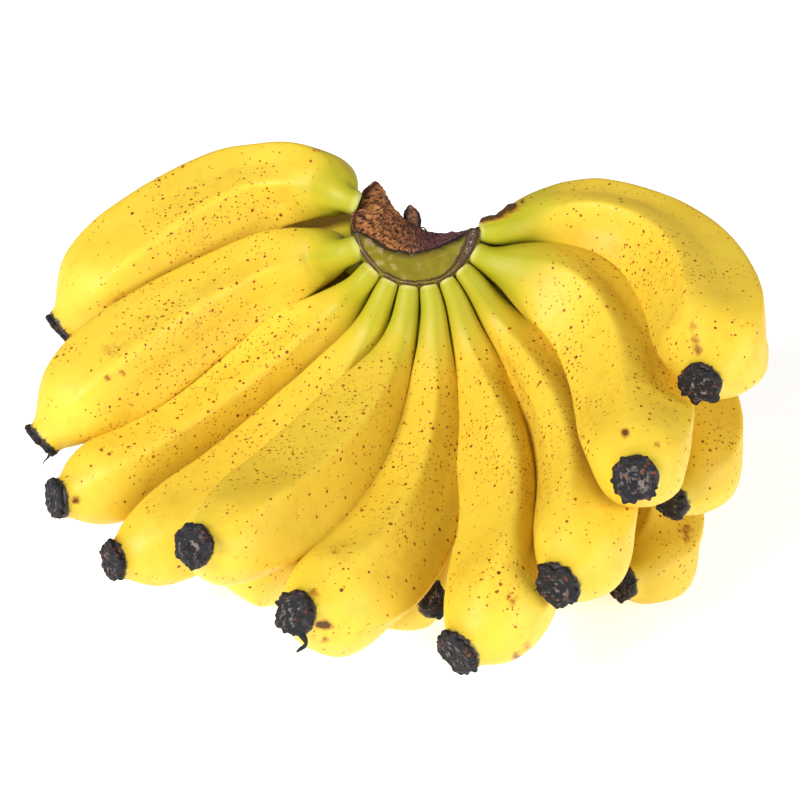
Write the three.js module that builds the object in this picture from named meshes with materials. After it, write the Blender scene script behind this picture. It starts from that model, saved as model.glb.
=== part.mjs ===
// One hand of bananas: a woody crown carrying two rows of curved fingers.
// Millimetres and degrees. +X runs along the widest spread, +Z is up.
import * as THREE from 'three';

// ---------------------------------------------------------------- driving dimensions
const CROWN_LEAN = 34; // how far the crown's own axis dips toward the back
const CROWN_AT = [7, 39, 130]; // middle of the crown's arc
const CROWN_RADIUS = 25.2; // outside of the crown at its front rim
const CROWN_FLARE = 1.6; // how much wider it gets where the fingers leave it
const CROWN_FRONT = 6; // front face, measured along the crown's axis
const CROWN_BACK = -27; // back face
const CROWN_RISE = 4; // how much higher the back end of the arc sits than the front
const INNER_ROW = { radius: 27, depth: 0 }; // ring of roots of the front row
const OUTER_ROW = { radius: 28, depth: -18 }; // and of the back row
const FIRST_GAP = 1; // the gap between inner fingers, counted from 0, that holds the first outer one
const COLLAR = 0.12; // share of a finger's length over which it swings from radial to its own curve
const STEPS = 120; // points along a finger's middle line
const SEAT_GAP = 0.8; // between a finger's root and the crown
const SEAT_REACH = 6; // how far past the crown's faces a neck still keeps clear of its side
const PRESS_GAP = 0.8; // between two fingers that lie against each other
const FINGER_SIDES = 15;
const RING_GAP = 0.06; // widest step between two rings of a finger, as a share of its length
const SWELL_MIDDLE = 0.55; // where along a finger a swelling leaves its thickness as it is
const RIDGE = 0.03; // height of the five blunt ridges, as a share of the radius

// Radius along a finger as a share of its half girth, from root to flower end.
const NECK_SHAPE = [
  [0, 0.26], [0.025, 0.26], [0.05, 0.26], [0.1, 0.33],
  [0.16, 0.46], [0.23, 0.62], [0.31, 0.79], [0.42, 0.94],
];
const BODY_SHAPE = [[0.53, 1], [0.64, 1.01], [0.75, 0.99], [0.84, 0.94], [0.9, 0.83], [0.935, 0.68]];
const END_SHAPE = [[0.958, 0.51], [0.97, 0.43], [0.98, 0.4], [0.997, 0.41]];

// Cut edge of the crown on its front and on its back face, from left tip to right tip.
const CUT_FRONT = [[-23, -3.6], [-17.5, -6], [-10.6, -10.4], [-3, -11.7], [4, -10.6], [12, -7.8], [22, -2.6]];
const CUT_BACK = [
  [-17, 22], [-12.6, 18.4], [-10.2, 12.4], [-6.6, 8],
  [-1.6, 3.2], [3.8, 0.8], [10, -0.8], [17, -0.2], [23.2, 0.6],
];

// Fingers: root = where on the crown's arc, in degrees; via = points on the finger's middle
// line at one third and two thirds of the way and at its flower end, as [side, up, out] from the
// crown's middle; girth = thickness of the body; neck = length of the neck against the usual, 1
// where it isn't given; fuller = how much the body swells toward the flower end, 0 where it isn't.
// An outer finger has no root of its own: it grows from behind the gap between two inner ones.
const INNER_FINGERS = [
  { root: 159, via: [[-61, 20, -38], [-103, -4, -34], [-147, -42, -24]], girth: 40, neck: 0.42, fuller: 0.5 },
  { root: 202, via: [[-63, -20, -24], [-107, -49, -8], [-149, -87, 6]], girth: 38, neck: 0.6, fuller: 0.5 },
  { root: 227, via: [[-55, -54, -22], [-104, -91, -4], [-141, -109, 20]], girth: 39, neck: 0.8, fuller: 0.2 },
  { root: 245, via: [[-40, -76, -12], [-80, -114, 6], [-117, -132, 32]], girth: 38, neck: 0.95, fuller: 0.1 },
  { root: 263, via: [[-18, -72, 5], [-49, -109, 45], [-79, -121, 95]], girth: 38, neck: 0.95 },
  { root: 282, via: [[4, -85, 5], [-14, -130, 40], [-44, -145, 90]], girth: 40, neck: 0.95, fuller: 0.3 },
  { root: 298, via: [[32, -76, 2], [39, -121, 40], [13, -160, 85]], girth: 42, neck: 0.95 },
  { root: 313, via: [[50, -66, 0], [62, -107, 42], [48, -136, 87]], girth: 42, neck: 0.95 },
  { root: 333, via: [[71, -41, 8], [82, -76, 45], [75, -98, 95]], girth: 40, neck: 0.5 },
  { root: 354, via: [[86, -2, -10], [111, -32, 25], [101, -65, 72]], girth: 38, neck: 0.65, fuller: 0.5 },
];
const OUTER_FINGERS = [
  { via: [[-39, 1, -68], [-82, -10, -78], [-126, -36, -50]], girth: 37, neck: 0.9 },
  { via: [[-44, -27, -56], [-92, -55, -64], [-132, -78, -36]], girth: 37 },
  { via: [[-50, -67, -58], [-84, -93, -70], [-115, -119, -34]], girth: 37 },
  { via: [[-27, -80, -36], [-52, -124, -29], [-67, -127, 24]], girth: 37 },
  { via: [[4, -88, -42], [-6, -135, -14], [7, -147, 26]], girth: 36 },
  { via: [[28, -76, -56], [54, -112, -48], [50, -134, -6]], girth: 36 },
  { via: [[62, -62, -42], [98, -114, -32], [80, -143, 6]], girth: 37 },
  { via: [[79, -31, -30], [109, -75, 0], [95, -109, 40]], girth: 36, neck: 0.9, fuller: 0.2 },
];

// ---------------------------------------------------------------- finishes
const skin = (colour) => new THREE.MeshStandardMaterial({ color: colour, roughness: 0.5, metalness: 0 });
const SKIN_BRIGHT = '#e8c832';
const SKIN_DEEP = '#dcb628';
const CROWN_BROWN = '#7d6236';
const BRACT_BROWN = '#4a3020';

// ---------------------------------------------------------------- small helpers
const rad = THREE.MathUtils.degToRad;
const lerp = THREE.MathUtils.lerp;

function readProfile(profile, s) {
  let i = 0;
  while (i < profile.length - 2 && profile[i + 1][0] < s) {
    i += 1;
  }
  const [s0, v0] = profile[i];
  const [s1, v1] = profile[i + 1];
  return lerp(v0, v1, THREE.MathUtils.clamp((s - s0) / (s1 - s0), 0, 1));
}

// Closed mesh from a row of rings, capped at both ends by their middles.
function meshFromRings(name, rings, material, firstMiddle = middleOf(rings[0])) {
  const n = rings[0].length;
  const points = rings.flat();
  const first = points.length;
  points.push(firstMiddle);
  points.push(middleOf(rings[rings.length - 1]));
  const faces = [];
  for (let k = 0; k < rings.length - 1; k += 1) {
    for (let i = 0; i < n; i += 1) {
      const a = k * n + i;
      const b = k * n + ((i + 1) % n);
      faces.push(a, b, b + n, a, b + n, a + n);
    }
  }
  const top = (rings.length - 1) * n;
  for (let i = 0; i < n; i += 1) {
    faces.push(first, (i + 1) % n, i);
    faces.push(first + 1, top + i, top + ((i + 1) % n));
  }
  return buildMesh(name, points, faces, material);
}

function buildMesh(name, points, faces, material) {
  const geometry = new THREE.BufferGeometry();
  geometry.setAttribute('position', new THREE.Float32BufferAttribute(points.flatMap((p) => p.toArray()), 3));
  geometry.setIndex(faces);
  geometry.computeVertexNormals();
  const mesh = new THREE.Mesh(geometry, material);
  mesh.name = name;
  return mesh;
}

function middleOf(ring) {
  const sum = new THREE.Vector3();
  ring.forEach((p) => sum.add(p));
  return sum.divideScalar(ring.length);
}

// ---------------------------------------------------------------- the crown's own frame
const crownMiddle = new THREE.Vector3(...CROWN_AT);
const crownSide = new THREE.Vector3(1, 0, 0);
const crownUp = new THREE.Vector3(0, Math.sin(rad(CROWN_LEAN)), Math.cos(rad(CROWN_LEAN)));
const crownOut = new THREE.Vector3(0, -Math.cos(rad(CROWN_LEAN)), Math.sin(rad(CROWN_LEAN)));

function fromCrown(side, up, out) {
  return crownMiddle.clone()
    .addScaledVector(crownSide, side)
    .addScaledVector(crownUp, up)
    .addScaledVector(crownOut, out);
}

function toCrown(p) {
  const d = p.clone().sub(crownMiddle);
  return [d.dot(crownSide), d.dot(crownUp), d.dot(crownOut)];
}

// Outside radius of the crown and the height of its arc's middle, at a depth along its axis.
function crownRadius(depth) {
  const share = THREE.MathUtils.clamp((CROWN_FRONT - depth) / 8, 0, 1);
  return CROWN_RADIUS + CROWN_FLARE * share * share * (3 - 2 * share);
}

function crownRise(depth) {
  return CROWN_RISE * THREE.MathUtils.clamp(-depth / 19, 0, 1.3);
}

// ---------------------------------------------------------------- crown
// Slices are crescents: the outer arc from left to right, then the cut edge back from right to left.
function crownSlice(depth, inset) {
  const share = (CROWN_FRONT - depth) / (CROWN_FRONT - CROWN_BACK);
  const steps = 16;
  const startAngle = lerp(187, 140, share);
  const radius = crownRadius(depth) - inset;
  const front = new THREE.CatmullRomCurve3(CUT_FRONT.map(([x, y]) => new THREE.Vector3(x, y, 0)));
  const back = new THREE.CatmullRomCurve3(CUT_BACK.map(([x, y]) => new THREE.Vector3(x, y, 0)));
  const outer = [];
  const inner = [];
  for (let i = 0; i <= steps; i += 1) {
    const angle = rad(lerp(startAngle, 357, i / steps));
    const up = radius * Math.sin(angle) + crownRise(depth) * (1 - Math.abs(Math.cos(angle)));
    outer.push(fromCrown(radius * Math.cos(angle), up, depth));
    const cut = front.getPoint(i / steps).lerp(back.getPoint(i / steps), share);
    inner.push(fromCrown(cut.x, cut.y - inset, depth));
  }
  return outer.concat(inner.reverse());
}

function crown() {
  const slices = [
    crownSlice(CROWN_FRONT, 2),
    crownSlice(CROWN_FRONT - 0.8, 0.7),
    crownSlice(CROWN_FRONT - 2.4, 0),
    crownSlice(CROWN_FRONT - 6, 0),
    crownSlice(CROWN_FRONT - 11, 0),
    crownSlice(CROWN_FRONT - 17, 0),
    crownSlice(CROWN_FRONT - 23, 0),
    crownSlice(CROWN_BACK + 3, 0),
    crownSlice(CROWN_BACK + 0.9, 0.7),
    crownSlice(CROWN_BACK, 2),
  ];
  const n = slices[0].length;
  const half = n / 2;
  const points = slices.flat();
  const faces = [];
  for (let k = 0; k < slices.length - 1; k += 1) {
    for (let i = 0; i < n; i += 1) {
      const a = k * n + i;
      const b = k * n + ((i + 1) % n);
      faces.push(a, b + n, b, a, a + n, b + n);
    }
  }
  const last = (slices.length - 1) * n;
  for (let i = 0; i < half - 1; i += 1) {
    const o = n - 1 - i;
    faces.push(i, i + 1, o, i + 1, o - 1, o);
    faces.push(last + i, last + o, last + i + 1, last + i + 1, last + o, last + o - 1);
  }
  const wood = new THREE.MeshStandardMaterial({ color: CROWN_BROWN, roughness: 0.85, metalness: 0 });
  return buildMesh('crown', points, faces, wood);
}

// ---------------------------------------------------------------- finger spines
// A spine leaves the crown at right angles and swings over to one smooth curve through the
// finger's three points.
function spineOf(spec, degrees, row) {
  const angle = rad(degrees);
  const root = fromCrown(
    row.radius * Math.cos(angle),
    row.radius * Math.sin(angle) + crownRise(row.depth),
    row.depth,
  );
  const radial = new THREE.Vector3()
    .addScaledVector(crownSide, Math.cos(angle))
    .addScaledVector(crownUp, Math.sin(angle));
  const [third, twoThirds, tip] = spec.via.map((place) => fromCrown(...place));
  const curve = cubicThrough(root, third, twoThirds, tip);
  const length = curve.getLength();
  const points = curve.getSpacedPoints(STEPS).map((p, k) => {
    const straight = root.clone().addScaledVector(radial, (length * k) / STEPS);
    return straight.lerp(p, THREE.MathUtils.smoothstep(k / STEPS, 0, COLLAR));
  });
  const headings = points.map((p, k) => {
    const before = points[Math.max(k - 1, 0)];
    const after = points[Math.min(k + 1, STEPS)];
    return after.clone().sub(before).normalize();
  });
  const side = third.clone().sub(root).cross(tip.clone().sub(third)).normalize();
  return { spec, points, headings, side };
}

// The cubic curve that passes its two middle points at one third and two thirds of the way.
function cubicThrough(start, third, twoThirds, end) {
  const handle = (near, nearThird, farThird, far) => new THREE.Vector3()
    .addScaledVector(near, -5 / 6)
    .addScaledVector(nearThird, 3)
    .addScaledVector(farThird, -3 / 2)
    .addScaledVector(far, 1 / 3);
  const leaving = handle(start, third, twoThirds, end);
  const arriving = handle(end, twoThirds, third, start);
  return new THREE.CubicBezierCurve3(start, leaving, arriving, end);
}

function shapeOf({ neck = 1 }) {
  return NECK_SHAPE.map(([s, v]) => [s * neck, v]).concat(BODY_SHAPE, END_SHAPE);
}

// 1 along the body of a finger, 0 at its neck and flower end.
function smoothBell(share) {
  return THREE.MathUtils.smoothstep(share, 0.05, 0.25) * (1 - THREE.MathUtils.smoothstep(share, 0.86, 0.95));
}

function addRadii(spine) {
  const { girth, fuller = 0 } = spine.spec;
  const shape = shapeOf(spine.spec);
  spine.radii = spine.points.map((p, k) => {
    const share = k / STEPS;
    const swelling = 1 + fuller * (share - SWELL_MIDDLE) * smoothBell(share);
    return (girth / 2) * readProfile(shape, share) * swelling;
  });
  spine.stations = fillGaps(shape.map(([s]) => s));
  return spine;
}

// Adds stations so that no two rings of a finger stand further apart than RING_GAP of its length.
function fillGaps(stations) {
  const filled = [stations[0]];
  for (let i = 1; i < stations.length; i += 1) {
    const pieces = Math.ceil((stations[i] - stations[i - 1]) / RING_GAP);
    for (let j = 1; j <= pieces; j += 1) {
      filled.push(lerp(stations[i - 1], stations[i], j / pieces));
    }
  }
  return filled;
}

// Distance from a point to a finger's round outline: below zero inside it.
function distanceTo(spine, p) {
  let best = Infinity;
  for (let k = 0; k < spine.points.length; k += 1) {
    const d = spine.points[k].distanceTo(p) - spine.radii[k];
    best = Math.min(best, d);
  }
  return best;
}

// ---------------------------------------------------------------- fingers
// Where two fingers would run into each other both stop halfway, as soft fruit pressed flat.
function pressedReach(spine, others, centre, direction, reach) {
  let low = 0.5;
  let high = reach;
  const free = (q) => {
    const p = centre.clone().addScaledVector(direction, q);
    return others.every((other) => q - reach <= distanceTo(other, p) - PRESS_GAP);
  };
  if (free(high)) {
    return high;
  }
  for (let step = 0; step < 14; step += 1) {
    const q = (low + high) / 2;
    if (free(q)) {
      low = q;
    } else {
      high = q;
    }
  }
  return low;
}

// Keeps a finger's skin off the crown; the root ring lies on the crown's side.
function seat(p, isRoot) {
  const [side, up, out] = toCrown(p);
  if (out > CROWN_FRONT + SEAT_REACH || out < CROWN_BACK - SEAT_REACH) {
    return p;
  }
  const angle = Math.atan2(up, side);
  const rise = crownRise(out) * (1 - Math.abs(Math.cos(angle)));
  const reach = Math.hypot(side, up - rise);
  const limit = crownRadius(out) + SEAT_GAP;
  if (reach >= limit && !isRoot) {
    return p;
  }
  const scale = limit / reach;
  return fromCrown(side * scale, rise + (up - rise) * scale, out);
}

function finger(name, spine, others, colour) {
  const rings = spine.stations.map((s, index) => {
    const at = s * STEPS;
    const k = Math.min(Math.floor(at), STEPS - 1);
    const centre = spine.points[k].clone().lerp(spine.points[k + 1], at - k);
    const along = spine.headings[k].clone().lerp(spine.headings[k + 1], at - k).normalize();
    const inward = spine.side.clone().cross(along).normalize();
    const side = along.clone().cross(inward);
    const reach = lerp(spine.radii[k], spine.radii[k + 1], at - k);
    const ring = [];
    for (let i = 0; i < FINGER_SIDES; i += 1) {
      const turn = (2 * Math.PI * i) / FINGER_SIDES;
      const direction = inward.clone().multiplyScalar(Math.cos(turn)).addScaledVector(side, Math.sin(turn));
      const ridged = reach * (1 + RIDGE * Math.cos(5 * turn));
      const q = pressedReach(spine, others, centre, direction, ridged);
      ring.push(seat(centre.clone().addScaledVector(direction, q), index === 0));
    }
    return ring;
  });
  return meshFromRings(name, rings, skin(colour), seat(middleOf(rings[0]), true));
}

// ---------------------------------------------------------------- bract scrap
// A torn dry flap standing against the crown's back face, thin and slightly curled.
function bractScrap() {
  const rows = [
    { out: -28.6, side: -1, up: -4, half: 3 },
    { out: -28.7, side: -1.4, up: 1, half: 3.6 },
    { out: -28.8, side: -1.4, up: 5.5, half: 4 },
    { out: -29.6, side: -2, up: 9, half: 3 },
    { out: -31, side: -2.6, up: 11.2, half: 1.2 },
  ];
  const thick = 0.9;
  const rings = rows.map((row) => [
    fromCrown(row.side - row.half, row.up - 0.6, row.out + thick),
    fromCrown(row.side, row.up, row.out + thick + 0.6),
    fromCrown(row.side + row.half, row.up - 0.6, row.out + thick),
    fromCrown(row.side + row.half, row.up - 0.6, row.out - thick),
    fromCrown(row.side, row.up, row.out - thick + 0.6),
    fromCrown(row.side - row.half, row.up - 0.6, row.out - thick),
  ]);
  const dry = new THREE.MeshStandardMaterial({ color: BRACT_BROWN, roughness: 0.9, metalness: 0 });
  return meshFromRings('bract_scrap', rings, dry);
}

// ---------------------------------------------------------------- the whole hand
const gapMiddle = (k) => (INNER_FINGERS[k].root + INNER_FINGERS[k + 1].root) / 2;
const spines = [
  ...INNER_FINGERS.map((spec) => addRadii(spineOf(spec, spec.root, INNER_ROW))),
  ...OUTER_FINGERS.map((spec, k) => addRadii(spineOf(spec, gapMiddle(k + FIRST_GAP), OUTER_ROW))),
];

const hand = new THREE.Group();
hand.name = 'banana_hand';
hand.add(crown());
hand.add(bractScrap());
spines.forEach((spine, index) => {
  const others = spines.filter((other) => other !== spine);
  const inner = index < INNER_FINGERS.length;
  const number = inner ? index + 1 : index + 1 - INNER_FINGERS.length;
  const name = `finger_${inner ? 'in' : 'out'}_${number}`;
  hand.add(finger(name, spine, others, inner ? SKIN_BRIGHT : SKIN_DEEP));
});

// Stand the hand on the table with the middle of its footprint at the origin.
const extent = new THREE.Box3().setFromObject(hand);
const middle = extent.getCenter(new THREE.Vector3());
hand.children.forEach((mesh) => mesh.geometry.translate(-middle.x, -middle.y, -extent.min.z));

export default hand;
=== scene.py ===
# %% [markdown]
# # A hand of dessert bananas
# This lesson builds one hand of ripe bananas: eighteen fingers in two rows that all grow from one
# cut crown. The solid parts of the hand come first, as the frame. Every visible piece then starts
# from its own part of that frame, so the fruit keeps its true size and place.

# %% Load the frame
import math
import bmesh
import bpy
import numpy as np
from mathutils import Matrix, Vector, noise


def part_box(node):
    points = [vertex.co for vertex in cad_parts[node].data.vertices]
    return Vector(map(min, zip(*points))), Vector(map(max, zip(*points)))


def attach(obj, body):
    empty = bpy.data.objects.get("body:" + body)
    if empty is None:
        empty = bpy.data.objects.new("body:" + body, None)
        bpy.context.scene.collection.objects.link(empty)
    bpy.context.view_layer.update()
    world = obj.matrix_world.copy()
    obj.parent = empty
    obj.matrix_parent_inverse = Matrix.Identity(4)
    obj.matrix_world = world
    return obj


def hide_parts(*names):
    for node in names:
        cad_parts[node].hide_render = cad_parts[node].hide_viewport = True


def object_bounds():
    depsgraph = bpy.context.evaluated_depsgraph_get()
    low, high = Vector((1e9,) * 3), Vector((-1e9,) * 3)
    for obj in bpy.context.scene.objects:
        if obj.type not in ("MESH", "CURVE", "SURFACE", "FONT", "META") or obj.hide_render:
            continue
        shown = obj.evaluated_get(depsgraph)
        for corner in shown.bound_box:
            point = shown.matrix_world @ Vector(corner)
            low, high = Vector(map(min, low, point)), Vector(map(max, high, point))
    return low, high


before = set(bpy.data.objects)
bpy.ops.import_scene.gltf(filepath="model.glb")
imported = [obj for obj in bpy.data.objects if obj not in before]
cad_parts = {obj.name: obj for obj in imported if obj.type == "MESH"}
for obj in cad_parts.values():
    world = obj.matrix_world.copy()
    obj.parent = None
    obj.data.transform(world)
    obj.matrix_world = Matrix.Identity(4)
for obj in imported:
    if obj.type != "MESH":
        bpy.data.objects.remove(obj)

MM = 0.001
solid_low, solid_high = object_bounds()
solid_size = [round(c / MM, 1) for c in solid_high - solid_low]
print("parts in the frame:", len(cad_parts), " size in mm:", solid_size)

# %% [markdown]
# ## Camera
# The hand is seen from the front and from 34 degrees above, which looks straight at the front of
# the crown, with a short telephoto lens, so the near fingers are only a little larger than the far
# ones. The crown's own frame follows from that: `side` runs to the right, `up` climbs along the
# picture and `out` comes toward the viewer. A camera looks along its own -Z, so its axes are the
# same three.

# %% Place the camera
LEAN = math.radians(34)
CAMERA_AWAY = 720
CROWN_SEEN_AT = Vector((6.6, 70.4, 0.4))  # the crown's middle, from the middle of the picture
BOX_TO_MIDDLE = Vector((0, -7.8, 14.7))  # to the centre of the crown's arc, from its box's centre

SIDE = Vector((1, 0, 0))
UP = Vector((0, math.sin(LEAN), math.cos(LEAN)))
OUT = Vector((0, -math.cos(LEAN), math.sin(LEAN)))
CROWN_TO_FRAME = Matrix((SIDE, UP, OUT)).transposed()
crown_low, crown_high = (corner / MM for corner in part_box("crown"))
CROWN_MIDDLE = (crown_low + crown_high) / 2 + BOX_TO_MIDDLE
camera_aim = CROWN_MIDDLE - CROWN_TO_FRAME @ CROWN_SEEN_AT
camera_at = camera_aim + OUT * CAMERA_AWAY

camera = bpy.data.objects.new("camera", bpy.data.cameras.new("camera"))
camera.matrix_world = Matrix.Translation(camera_at * MM) @ CROWN_TO_FRAME.to_4x4()
camera.data.lens = 81
camera.data.sensor_width = 36
camera.data.clip_end = 20
bpy.context.scene.collection.objects.link(camera)
bpy.context.scene.camera = camera
print("crown's middle in mm:", [round(c, 1) for c in CROWN_MIDDLE])

# %% [markdown]
# ## Places on the hand
# A bruise is easiest to place where it shows from the front, while the cut of the crown is easiest
# to describe in the crown's own frame. One function turns points into that frame, and a second one
# adds the camera's perspective, so both kinds of place can be written as `side` and `up` in mm.

# %% Places on the hand
def in_crown(points):
    """Points given in mm, as side, up and out from the crown's middle."""
    return (points - np.array(CROWN_MIDDLE)) @ np.array(CROWN_TO_FRAME)


def seen_at(points):
    """Where points show from the camera, as side and up in mm on the plane through the crown."""
    local = in_crown(points)
    depth = CAMERA_AWAY - CROWN_SEEN_AT[2] - local[:, 2]
    middle_seen = np.array(CROWN_SEEN_AT[:2])
    return (local[:, :2] + middle_seen) * (CAMERA_AWAY / depth)[:, None] - middle_seen


print("the crown's middle shows at:", seen_at(np.array([CROWN_MIDDLE]))[0].round(1))

# %% [markdown]
# ## Helpers for materials
# Node materials get long, so one small function adds a node, sets what is fixed on it and links
# what comes from other nodes. Colours are written as sRGB hex values, as on a paint chart, and
# Blender wants them linear, so another turns them. The size of a pattern is easiest to judge in mm,
# so a third one turns that into a scale.

# %% Helpers for materials
def colour(code):
    """The linear RGBA of an sRGB hex value."""
    parts = [int(code[i:i + 2], 16) / 255 for i in (1, 3, 5)]
    return tuple(c / 12.92 if c < 0.04045 else ((c + 0.055) / 1.055) ** 2.4 for c in parts) + (1,)


def new_material(name):
    """An empty node material and its tree."""
    material = bpy.data.materials.new(name)
    material.use_nodes = True
    material.node_tree.nodes.clear()
    return material, material.node_tree


def add(tree, kind, inputs=None, **settings):
    """Adds a node. Each input is either another node's output, which is linked, or a value."""
    node = tree.nodes.new(kind)
    for name, value in settings.items():
        setattr(node, name, value)
    for key, value in (inputs or {}).items():
        if isinstance(value, bpy.types.NodeSocket):
            tree.links.new(value, node.inputs[key])
        else:
            node.inputs[key].default_value = value
    return node


def waves(size):
    """The scale of a pattern that has one wave, or one cell, in this many mm."""
    return 1 / (size * MM)


print("a banana yellow, made linear:", [round(c, 3) for c in colour("#e4c740")])

# %% [markdown]
# ## Table
# The hand lies on a sheet of matt white paper on a light table, which glows a little and so keeps
# the shadows thin. A plain white sheet would go grey away from the lamps, so the glow is part of
# the paper's own surface. Paper is faintly cloudy, which keeps it from looking like nothing at all.

# %% Table
TABLE_REACH = 4.0  # from its middle to each side, in metres
TABLE_GLOW = 0.52

table_paper, tree = new_material("matt_white_paper")
place = add(tree, "ShaderNodeTexCoord").outputs["Object"]
cloudy = add(tree, "ShaderNodeTexNoise", {"Vector": place, "Scale": waves(20), "Detail": 3.0})
tint = add(tree, "ShaderNodeMixRGB", {"Fac": cloudy.outputs["Fac"], "Color1": colour("#ffffff"),
                                      "Color2": colour("#fcfcfc")})
paper = add(tree, "ShaderNodeBsdfPrincipled", {"Base Color": tint.outputs["Color"], "Roughness": 0.9,
                                               "Specular IOR Level": 0.1,
                                               "Emission Color": colour("#ffffff"),
                                               "Emission Strength": TABLE_GLOW})
add(tree, "ShaderNodeOutputMaterial", {"Surface": paper.outputs["BSDF"]})

bm = bmesh.new()
bmesh.ops.create_grid(bm, x_segments=4, y_segments=4, size=TABLE_REACH)
table = bpy.data.objects.new("table", bpy.data.meshes.new("table"))
bm.to_mesh(table.data)
bm.free()
table.data.materials.append(table_paper)
bpy.context.scene.collection.objects.link(table)
print("table:", 2 * TABLE_REACH, "m wide")

# %% [markdown]
# ## Light
# A large softbox stands in front of the fruit and a little to the left, so that every finger has a
# bright flank and a golden one, and a weaker one lifts the ends on the right. Big lamps and a dim
# white room keep the edges of the shadows soft. The standard view transform keeps the yellow as
# strong as it is on real peel.

# %% Lights
LIT_PLACE = Vector((0, 0, 0.07))  # the middle of the fruit, in metres
ROOM_LIGHT = 0.22
SOFTBOXES = {  # place in metres, side in metres, power in watts
    "softbox_front": ((-0.98, -1.02, 1.1), 0.55, 36.0),
    "softbox_right": ((1.35, -0.8, 0.6), 0.8, 17.0),
}
for name, (place, side, power) in SOFTBOXES.items():
    lamp = bpy.data.objects.new(name, bpy.data.lights.new(name, "AREA"))
    lamp.data.size = side
    lamp.data.energy = power
    aim = (LIT_PLACE - Vector(place)).to_track_quat("-Z", "Y").to_matrix().to_4x4()
    lamp.matrix_world = Matrix.Translation(place) @ aim
    bpy.context.scene.collection.objects.link(lamp)

world = bpy.data.worlds.new("studio_walls")
world.use_nodes = True
world.node_tree.nodes["Background"].inputs["Color"].default_value = colour("#ffffff")
world.node_tree.nodes["Background"].inputs["Strength"].default_value = ROOM_LIGHT
bpy.context.scene.world = world
bpy.context.scene.view_settings.view_transform = "Standard"
print("lights:", list(SOFTBOXES), "and a white room")

# %% [markdown]
# ## Yellow peel
# Banana peel is a grown, waxy skin, matt yellow with a soft sheen. One flat yellow would look like
# plastic, so two yellows wander into each other over a few centimetres, and a finer haze of ochre
# lies on top. Both come from noise at each point's own place, which needs no unwrapping.

# %% Yellows of the peel
peel, tree = new_material("ripe_banana_peel")
place = add(tree, "ShaderNodeTexCoord").outputs["Object"]
slow = add(tree, "ShaderNodeTexNoise", {"Vector": place, "Scale": waves(35.7)}).outputs["Fac"]
skin = add(tree, "ShaderNodeMixRGB", {"Fac": slow, "Color1": colour("#e4c740"),
                                      "Color2": colour("#dcb42a")}).outputs["Color"]
mottle = add(tree, "ShaderNodeTexNoise", {"Vector": place, "Scale": waves(6.25), "Detail": 4.0,
                                          "Roughness": 0.6}).outputs["Fac"]
haze = add(tree, "ShaderNodeMapRange", {"Value": mottle, "From Min": 0.5, "From Max": 0.75,
                                        "To Max": 0.45}).outputs[0]
skin = add(tree, "ShaderNodeMixRGB", {"Fac": haze, "Color1": skin,
                                      "Color2": colour("#d0a02c")}).outputs["Color"]
print("the peel starts with", len(tree.nodes), "nodes")

# %% [markdown]
# ## Green ends
# A ripe finger keeps some green where it leaves the crown, a little further down along its ridges,
# and a trace of it at the flower end. The pieces carry how far each point is from the crown and
# from the flower end, in mm, so the green fades along the finger on its own curve, where a straight
# gradient would cut across it. A thin pale ring where the neck leaves the crown is a painted
# highlight, the light caught on the neck's collar.

# %% Green ends of the peel
GREEN_REACH = 44.0  # how far from the crown the last green is, in mm
GREEN_WANDER = 30.0  # how much that differs from place to place
GREEN_ON_RIDGES = 8.0  # how much further it goes on a ridge

along = add(tree, "ShaderNodeAttribute", attribute_name="along").outputs["Fac"]
to_tip = add(tree, "ShaderNodeAttribute", attribute_name="to_tip").outputs["Fac"]
ridge = add(tree, "ShaderNodeAttribute", attribute_name="ridge").outputs["Fac"]
wander = add(tree, "ShaderNodeMath", {0: slow, 1: GREEN_WANDER, 2: -GREEN_WANDER / 2},
             operation="MULTIPLY_ADD").outputs[0]
reach = add(tree, "ShaderNodeMath", {0: along, 1: wander}, operation="ADD").outputs[0]
reach = add(tree, "ShaderNodeMath", {0: ridge, 1: -GREEN_ON_RIDGES, 2: reach},
            operation="MULTIPLY_ADD").outputs[0]
neck_green = add(tree, "ShaderNodeMapRange", {"Value": reach, "From Min": 0.0,
                                              "From Max": GREEN_REACH, "To Min": 1.0,
                                              "To Max": 0.0}, interpolation_type="SMOOTHSTEP")
end_green = add(tree, "ShaderNodeMapRange", {"Value": to_tip, "From Min": 3.0, "From Max": 16.0,
                                             "To Min": 0.2, "To Max": 0.0},
                interpolation_type="SMOOTHSTEP")
green = add(tree, "ShaderNodeMath", {0: neck_green.outputs[0], 1: end_green.outputs[0]},
            operation="MAXIMUM").outputs[0]
skin = add(tree, "ShaderNodeMixRGB", {"Fac": green, "Color1": skin,
                                      "Color2": colour("#a5a21c")}).outputs["Color"]
# Painted highlight: a thin pale ring at the root of each neck, where light catches its collar.
collar_highlight = add(tree, "ShaderNodeMapRange", {"Value": along, "From Min": 0.6, "From Max": 1.8,
                                       "To Min": 0.4, "To Max": 0.0}).outputs[0]
skin = add(tree, "ShaderNodeMixRGB", {"Fac": collar_highlight, "Color1": skin,
                                      "Color2": colour("#d8d690")}).outputs["Color"]
print("green reaches", GREEN_REACH, "mm")

# %% [markdown]
# ## Freckles
# A banana ripens into brown freckles that sit in clusters. They are the cells of a Voronoi pattern:
# a dot shows near the middle of some cells only, and a number on the piece says how many. Three
# sizes of cell give fine and large freckles, a noise bends their outlines, and a faint orange halo
# lies under each. Real dots of geometry would be thousands of pieces for the same look.

# %% Freckles of the peel
# Each row is the spacing of the cells, the smallest and the largest freckle's radius, all in mm,
# and the share of cells with a freckle where they are thickest.
FRECKLES = ((1.7, 0.26, 0.44, 0.95), (3.2, 0.44, 0.74, 0.9), (9.0, 0.6, 0.95, 0.22))
FRECKLE_EDGE = 0.1  # the width of a freckle's soft edge, in mm
HALO = 0.35  # how far the halo goes beyond that edge, in mm
FRECKLE_BEND = 0.7 * MM  # how far the noise can move an outline

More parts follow.
